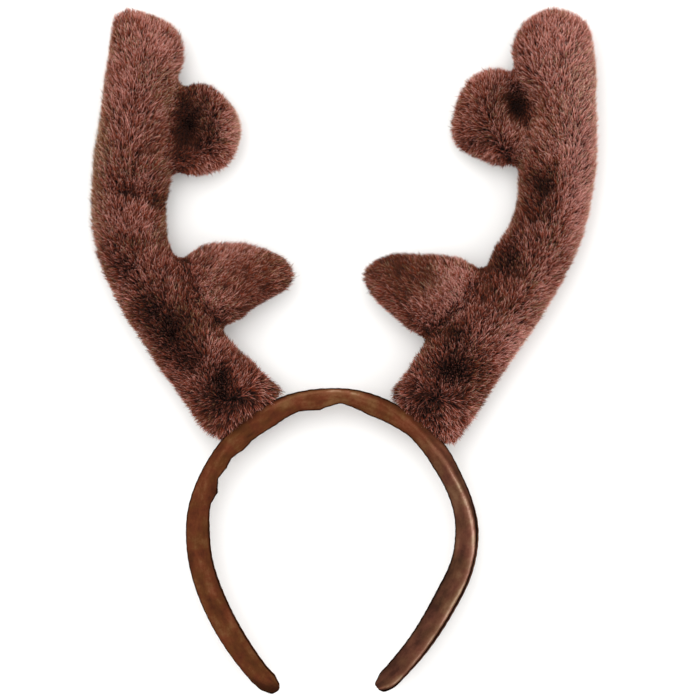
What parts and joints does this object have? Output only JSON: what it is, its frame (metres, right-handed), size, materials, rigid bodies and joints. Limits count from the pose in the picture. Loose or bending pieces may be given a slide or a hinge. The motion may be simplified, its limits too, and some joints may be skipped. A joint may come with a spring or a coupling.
{
  "type": "reindeer antler headband",
  "caption": "Plush reindeer antlers with brow and crown tines on a fabric-covered headband, worn over the crown of the head.",
  "frame": {"origin": "centre of the box of the headband as it lies on its back, on the surface that it lies on", "axes": "+Y from the band's tips to the antlers' tops, +Z out of the front and up as it lies, +X to the right for a viewer who looks down on the front"},
  "size_m": [0.2358, 0.3164, 0.0314],
  "materials": {
    "band_cloth": "matte",
    "plush": "matte"
  },
  "bodies": {
    "root": {"band": "band_cloth", "left_beam": "plush", "left_brow_tine": "plush", "left_crown_tine": "plush", "right_beam": "plush", "right_brow_tine": "plush", "right_crown_tine": "plush"}
  },
  "joints": []
}
